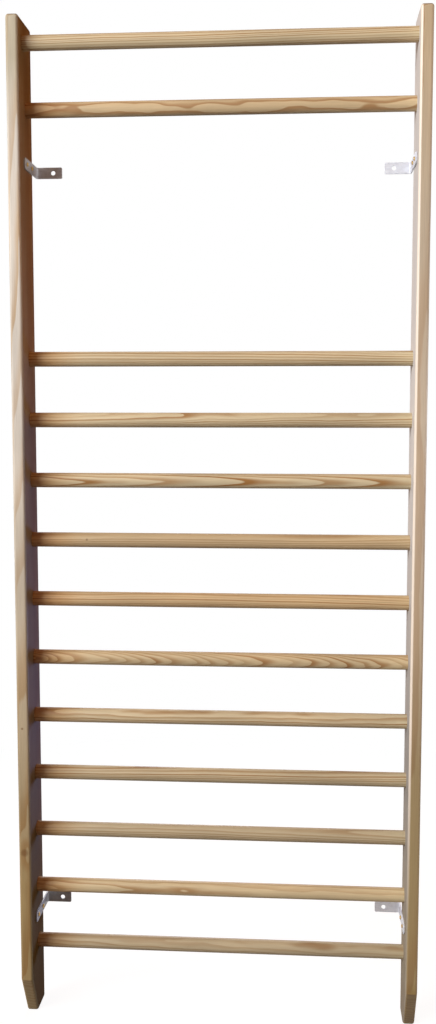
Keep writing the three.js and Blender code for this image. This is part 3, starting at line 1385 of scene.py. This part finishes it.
@dataclass
class Brackets:
    """The bent strips that hold the posts to the wall, and their pan head screws."""

    strip_thickness: float = 3 * MM
    bend_radius: float = 3 * MM
    post_corner_radius: float = 8 * MM
    wall_corner_radius: float = 3 * MM
    wall_hole_radius: float = 5 * MM
    wall_hole_from_end: float = 20.5 * MM
    drill_reach: float = 6 * MM
    edge_ease: float = 0.4 * MM
    edge_ease_deg: float = 40
    bend_steps: int = 8
    corner_segments: int = 6
    hole_facets: int = 40
    screw_hole_radius: float = 2.7 * MM
    screw_shank_radius: float = 2.4 * MM
    screw_crown_radius: float = 2.9 * MM
    screw_head_height: float = 2.8 * MM
    screw_rim: float = 0.7 * MM
    screw_seat_gap: float = 0.3 * MM
    screw_tip: float = 4 * MM
    # How far the screw near the wall and the one near the front are turned.
    screw_turns: Span = (0.4, 1.1)

    def node(self, row: Row, side: Side) -> str:
        """The frame's node of a bracket."""
        return f"{row.value}_{side.label}_bracket"

    def screw_nodes(self, row: Row, side: Side) -> list[str]:
        """The frame's nodes of a bracket's screws, from the wall to the front."""
        return [f"{self.node(row, side)}_screw_{index + 1}" for index in range(len(self.screw_turns))]

    def screw_cutters(self, side: Side) -> Object:
        """Bars that bore one post for its bracket screws.

        Args:
            side: the post's side.

        Returns:
            One object that holds all the bars.
        """
        spread = Vector((self.screw_seat_gap, self.screw_hole_radius, self.screw_hole_radius))
        bars = []
        for row in Row:
            for node in self.screw_nodes(row, side):
                low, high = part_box(node)
                middle = (low + high) / 2
                start = Vector((low.x, middle.y, middle.z)) - spread
                end = Vector((high.x, middle.y, middle.z)) + spread
                bars.append(round_bar("bracket_screw_cutter", start, end, self.hole_facets))
        return joined(bars)

    def build(self, zinc: dict[tuple[Row, Side], Material], steel: Material) -> None:
        """Model and dress the brackets and their screws.

        Args:
            zinc: the finish of each strip, painted darker where it lies in shade and paler where it is lit.
            steel: the screws' finish.
        """
        strip = self._strip()
        low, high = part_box(self.screw_nodes(Row.UPPER, Side.RIGHT)[0])
        screw = Screw(
            "pan_screw",
            head_radius=(high.z - low.z) / 2,
            shank_radius=self.screw_shank_radius,
            length=high.x - low.x,
            head_height=self.screw_head_height - self.screw_seat_gap,
            rim=self.screw_rim,
            tip=self.screw_tip,
            crown_radius=self.screw_crown_radius,
        ).build()
        for (row, side), plating in zinc.items():
            node = self.node(row, side)
            fit(copy_of(strip, f"{node}_strip", self._place(row, side)), node, plating)
            for name, turn in zip(self.screw_nodes(row, side), self.screw_turns):
                place = screw_place(name, -side.value, turn)
                fit(copy_of(screw, f"{name}_steel", place), name, steel)
        discard(strip)
        discard(screw)

    def _place(self, row: Row, side: Side) -> Matrix:
        """Where a strip goes. Turned half round about Y, the right-hand one serves on the left.

        Args:
            row: the bracket's row.
            side: the bracket's side.

        Returns:
            The matrix from the pattern to its place.
        """
        low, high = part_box(self.node(row, side))
        turn = 0 if side is Side.RIGHT else math.pi
        return Matrix.Translation((0, 0, (low.z + high.z) / 2)) @ Matrix.Rotation(turn, 4, "Y")

    def _strip(self) -> Object:
        """Model the right-hand strip about the middle of its height.

        Returns:
            The pattern that the copies are taken from.
        """
        low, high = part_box(self.node(Row.UPPER, Side.RIGHT))
        half = (high.z - low.z) / 2
        outer_radius = self.bend_radius + self.strip_thickness
        bend = Vector((high.x - outer_radius, high.y - outer_radius, 0))
        corners = ((1, low.y, self.post_corner_radius), (0, low.x, self.wall_corner_radius))
        bpy.ops.object.select_all(action="DESELECT")
        bpy.ops.mesh.primitive_plane_add(
            size=1, location=(high.x, (low.y + bend.y) / 2, 0), rotation=(0, QUARTER_TURN, 0)
        )
        strip = named("bracket_pattern")
        strip.scale = (2 * half, bend.y - low.y, 1)
        settle(strip)
        with edit_mode(strip):
            pick(strip, Element.EDGE, all_at(1, bend.y))
            bpy.ops.mesh.spin(steps=self.bend_steps, angle=-QUARTER_TURN, center=bend, axis=(0, 0, 1))
            pick(strip, Element.EDGE, all_at(1, high.y))
            bpy.ops.mesh.extrude_region_move(TRANSFORM_OT_translate={"value": (low.x - bend.x, 0, 0)})
            for axis, place, radius in corners:
                pick(strip, Element.VERTEX, all_at(axis, place))
                bpy.ops.mesh.bevel(affect="VERTICES", offset=radius, segments=self.corner_segments)
            bpy.ops.mesh.select_all(action="SELECT")
            bpy.ops.mesh.remove_doubles(threshold=TOUCH)
            bpy.ops.mesh.normals_make_consistent(inside=False)
        self._face_outwards(strip, high.x)
        apply_modifier(strip, "SOLIDIFY", thickness=self.strip_thickness, offset=-1, use_even_offset=True)
        self._drill(strip, low, high)
        ease_edges(strip, self.edge_ease, self.edge_ease_deg)
        smooth(strip)
        return strip

    def _face_outwards(self, strip: Object, post_x: float) -> None:
        """Turn the sheet's faces towards the post and the wall.

        Args:
            strip: the sheet before it gets its thickness.
            post_x: where its leg lies on the post.
        """
        on_post = all_at(0, post_x)
        for face in strip.data.polygons:
            corners = [strip.data.vertices[i].co for i in face.vertices]
            if on_post(corners) and face.normal.x < 0:
                with edit_mode(strip):
                    bpy.ops.mesh.select_all(action="SELECT")
                    bpy.ops.mesh.flip_normals()
                return

    def _drill(self, strip: Object, low: Vector, high: Vector) -> None:
        """Drill the strip for the wall and for its two screws.

        Args:
            strip: the bent strip.
            low: the lowest corner of its node.
            high: the highest corner of its node.
        """
        bpy.ops.object.select_all(action="DESELECT")
        bpy.ops.mesh.primitive_cylinder_add(
            vertices=self.hole_facets,
            radius=self.wall_hole_radius,
            depth=2 * self.drill_reach,
            location=(low.x + self.wall_hole_from_end, high.y, 0),
            rotation=(QUARTER_TURN, 0, 0),
        )
        cut_away(strip, settle(named("wall_hole_cutter")))
        reach = Vector((self.drill_reach, self.screw_hole_radius, self.screw_hole_radius))
        for node in self.screw_nodes(Row.UPPER, Side.RIGHT):
            screw_low, screw_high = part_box(node)
            middle = Vector((high.x, (screw_low.y + screw_high.y) / 2, 0))
            cut_away(strip, round_bar("leg_hole_cutter", middle - reach, middle + reach, self.hole_facets))


# Studio.


@dataclass(frozen=True)
class Lamp:
    """A square soft lamp."""

    name: str
    place: Triple
    aim: Triple
    size: float
    watts: float
    colour: str
    spread_deg: float = 180.0


@dataclass
class Studio:
    """A white studio: a camera, a pale floor, a warm and faint world, and four lamps.

    The large soft box on the left is the main one, and a small cool lamp behind fills the left post's inner
    face. The other two light the sides that face away: one from behind, and one level with both boards, so
    that the right post shades the left.
    """

    image_height_px: int = 1024
    focal_px: float = 1145.0
    sensor: float = 36.0
    eye: Triple = (0.1839, -2.5504, 1.4202)
    aim: Triple = (-0.0016, -0.018, 1.1762)
    lamps: tuple[Lamp, ...] = (
        Lamp("soft_box", (-3.75, -3.95, 3.4), (0.0, 0.0, 1.9), 4.2, 135.0, WHITE, 100.0),
        Lamp("cool_fill", (0.4, 1.2, 0.6), (-0.42, 0.0, 0.6), 0.5, 2.0, "#98b0ff", 80.0),
        Lamp("back_light", (-0.7, 4.5, 2.0), (0.0, 0.0, 1.2), 0.8, 90.0, WHITE),
        Lamp("side_light", (6.5, -0.02, 1.2), (0.45, -0.02, 1.2), 0.25, 150.0, WHITE),
    )
    ambient: str = "#ffa252"
    ambient_strength: float = 0.275
    floor_size: float = 60.0
    floor_grey: str = "#504d49"
    floor_glow: float = 0.48
    shadow_share: float = 0.16
    shadow_near: float = 0.7
    shadow_far: float = 2.2

    def build(self) -> None:
        """Make the camera, the lamps, the world and the floor."""
        self._camera()
        for lamp in self.lamps:
            self._light(lamp)
        self._world()
        self._floor()
        bpy.context.scene.view_settings.view_transform = "Standard"

    def _aimed(self, thing: Object, place: Triple, aim: Triple) -> None:
        """Put a camera or lamp at a place and point it.

        Args:
            thing: the object.
            place: where it stands.
            aim: the point that it looks at.
        """
        bpy.context.scene.collection.objects.link(thing)
        thing.location = place
        thing.rotation_euler = (Vector(aim) - Vector(place)).to_track_quat("-Z", "Y").to_euler()

    def _camera(self) -> None:
        """Make the camera. Its sensor spans the long side of the upright picture."""
        data = bpy.data.cameras.new("studio_camera")
        data.sensor_width = self.sensor
        data.lens = self.focal_px * self.sensor / self.image_height_px
        camera = bpy.data.objects.new("studio_camera", data)
        self._aimed(camera, self.eye, self.aim)
        bpy.context.scene.camera = camera

    def _light(self, lamp: Lamp) -> None:
        """Make one lamp.

        Args:
            lamp: what it is.
        """
        data = bpy.data.lights.new(lamp.name, "AREA")
        data.shape = "SQUARE"
        data.size = lamp.size
        data.energy = lamp.watts
        data.spread = math.radians(lamp.spread_deg)
        data.color = linear(lamp.colour)[:3]
        light = bpy.data.objects.new(lamp.name, data)
        light.visible_camera = False
        self._aimed(light, lamp.place, lamp.aim)

    def _seen(self, tree: NodeTree) -> Feed:
        """Whether a ray comes from the camera, a gloss or a glass.

        Args:
            tree: the node tree.

        Returns:
            What gives 1 for such rays.
        """
        path = add_node(tree, "LightPath", {}).outputs
        seen = path["Is Camera Ray"]
        for kind in ("Is Glossy Ray", "Is Transmission Ray"):
            seen = add_node(tree, "Math", {0: seen, 1: path[kind]}, operation="MAXIMUM")
        return seen

    def _world(self) -> None:
        """Make a world that lights softly and looks white."""
        world = bpy.data.worlds.new("white_studio")
        world.use_nodes = True
        tree = world.node_tree
        tree.nodes.clear()
        glow = {"Color": linear(self.ambient), "Strength": self.ambient_strength}
        soft = add_node(tree, "Background", glow)
        white = add_node(tree, "Background", {"Color": linear(WHITE), "Strength": 1.0})
        both = add_node(tree, "MixShader", {0: self._seen(tree), 1: soft, 2: white})
        add_node(tree, "OutputWorld", {"Surface": both})
        bpy.context.scene.world = world

    def _floor(self) -> None:
        """Make a floor that looks white, keeps a faint shadow and throws little light back."""
        bpy.ops.object.select_all(action="DESELECT")
        bpy.ops.mesh.primitive_plane_add(size=self.floor_size)
        floor = named("studio_floor")
        material = empty_material("pale_studio_floor")
        tree = material.node_tree
        place = add_node(tree, "TexCoord", {}).outputs["Object"]
        away = add_node(tree, "VectorMath", {0: place}, operation="LENGTH")
        near = {"From Min": self.shadow_near, "To Min": self.shadow_share}
        far = {"From Max": self.shadow_far, "To Max": 0.0}
        share = add_node(tree, "MapRange", {"Value": away, **near, **far}, interpolation_type="SMOOTHSTEP")
        paint = add_node(tree, "BsdfDiffuse", {"Color": linear(self.floor_grey)})
        white = add_node(tree, "BsdfDiffuse", {"Color": linear(WHITE)})
        lift = add_node(tree, "Emission", {"Color": linear(WHITE), "Strength": self.floor_glow})
        bright = add_node(tree, "AddShader", {0: white, 1: lift})
        glow = add_node(tree, "Emission", {"Color": linear(WHITE), "Strength": 1.0})
        shown = add_node(tree, "MixShader", {0: share, 1: glow, 2: bright})
        both = add_node(tree, "MixShader", {0: self._seen(tree), 1: paint, 2: shown})
        add_node(tree, "OutputMaterial", {"Surface": both})
        floor.data.materials.append(material)


RUNG_KNOTS = (Knot(-297, 1112, 2.5, 0.4),)
LEFT_POST_KNOTS = (Knot(-438, 690, 2.5, 0.45), Knot(-437, 402, 8, 0.4))

# How the rungs were sawn, from the top down.
RUNG_LOGS = (
    Sawn(Cut.QUARTER, 60, drift_deg=0.5, ring_mm=4.5, tone=1.04),
    Sawn(Cut.FLAT, 66.5, slope_deg=0.4, drift_deg=0.3, ring_mm=8.0, tint="#fff4ea", bold=0.9, flame=7.0),
    Sawn(Cut.QUARTER, 75, drift_deg=-0.6, ring_mm=5.0, tone=1.03),
    Sawn(Cut.RIFT, 60, slope_deg=0.5, drift_deg=0.5, ring_mm=4.0, tone=1.02, flame=3.0),
    Sawn(Cut.FLAT, 44, slope_deg=1.3, drift_deg=-0.5, ring_mm=3.8, tone=1.03, bold=1.1),
    Sawn(Cut.RIFT, 70, slope_deg=0.6, ring_mm=3.6, tone=0.9, tint="#fff5eb", knots=RUNG_KNOTS),
    Sawn(Cut.QUARTER, 85, drift_deg=-0.3, ring_mm=4.6, tint="#fff2e4"),
    Sawn(Cut.FLAT, 76, slope_deg=5.6, ring_mm=4.2, tint="#fff9f1", bold=0.95, flame=4.0),
    Sawn(Cut.RIFT, 65, slope_deg=0.4, drift_deg=-0.4, ring_mm=4.8, flame=3.0),
    Sawn(Cut.QUARTER, 70, drift_deg=0.6, ring_mm=5.2, tone=0.89),
    Sawn(Cut.RIFT, 90, slope_deg=-0.4, ring_mm=3.8, tone=0.84),
    Sawn(Cut.FLAT, 65, slope_deg=0.8, ring_mm=6.0, tone=1.05, tint="#fffcf6", bold=0.8, flame=5.0),
    Sawn(Cut.RIFT, 50, slope_deg=-1.2, drift_deg=0.3, ring_mm=5.2, tone=0.82, bold=0.8, flame=5.0),
)
POST_LOGS = {
    Side.LEFT: Sawn(
        Cut.EDGE, 78, slope_deg=1.2, drift_deg=0.4, ring_mm=5.0, bold=0.75, knots=LEFT_POST_KNOTS
    ),
    Side.RIGHT: Sawn(Cut.EDGE, 92, slope_deg=0.4, drift_deg=0.5, ring_mm=4.6, tone=0.95, bold=0.85),
}
POST_FINISHES = {
    Side.LEFT: WornPine(
        early="#e3dfd4",
        late="#bd975c",
        heart_radius_mm=105,
        sheen_level=0.25,
        inward=1.0,
        darkening=(
            HeightBand(330, "#b8a57c"),
            HeightBand(800, "#ddd4c0"),
            HeightBand(1400, WHITE),
            HeightBand(1990, "#fafafa"),
            HeightBand(2150, "#d6d2c2"),
        ),
        # Painted shade on the inner face: slate low down, warm brown near the top.
        dust=(
            HeightBand(150, "#7d8360", 0.6),
            HeightBand(700, "#80868c", 0.6),
            HeightBand(1350, "#8c9298", 0.6),
            HeightBand(1700, "#d2b084", 0.2),
        ),
    ),
    Side.RIGHT: WornPine(
        early="#e4d8c2",
        late="#b98d58",
        heart_share=0.2,
        roughness=0.36,
        sheen_level=0.5,
        inward=-1.0,
        darkening=(
            # The darkest band covers the foot bevel: painted shade on a face that turns to the floor.
            HeightBand(90, "#aa9453"),
            HeightBand(130, "#c5bb92"),
            HeightBand(620, "#c0b596"),
            HeightBand(1125, WHITE),
            HeightBand(1800, "#f1eee8"),
            HeightBand(2200, "#ede3d0"),
        ),
        # Painted reflection of the pale surroundings on the inner face, darker and greyer towards the floor
        # as painted shade.
        dust=(HeightBand(150, "#aaa79e", 0.7), HeightBand(600, "#a9adb2", 0.7), HeightBand(1400, "#dde2e8", 0.65)),
        # A painted highlight along the inner front arris.
        highlight_share=0.9,
    ),
}
# Lit and shaded copies of one plating: the left strips are painted darker for the shade of the left post,
# the right ones paler where the soft box lights them.
ZINC_FINISHES_LIT_AND_SHADED = {
    (Row.UPPER, Side.LEFT): ZincPlate(bright="#d6d9de", dull="#b6b9c0"),
    (Row.UPPER, Side.RIGHT): ZincPlate(bright="#ecf2fb", dull="#d4dae6"),
    (Row.LOWER, Side.LEFT): ZincPlate(bright="#a9afb7", dull="#8a9098"),
    (Row.LOWER, Side.RIGHT): ZincPlate(bright="#ecf2fb", dull="#d4dae6"),
}


def main() -> None:
    """Build the studio and every piece of the wall bars in order."""
    logging.basicConfig(level=logging.INFO, format="%(name)s: %(message)s")
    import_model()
    Studio().build()
    zinc = {
        (row, side): finish.material(f"zinc_plated_steel_{row.value}_{side.label}")
        for (row, side), finish in ZINC_FINISHES_LIT_AND_SHADED.items()
    }
    steel = YellowZinc().material("yellow_passivated_steel")
    rungs = Rungs()
    brackets = Brackets()
    for side in Side:
        cutters = (rungs.seat_cutters(side), rungs.screw_cutters(side), brackets.screw_cutters(side))
        Post(side).build(POST_FINISHES[side], POST_LOGS[side], cutters)
    rungs.build(HandledPine(), RUNG_LOGS, steel)
    brackets.build(zinc, steel)


if __name__ == "__main__":
    main()
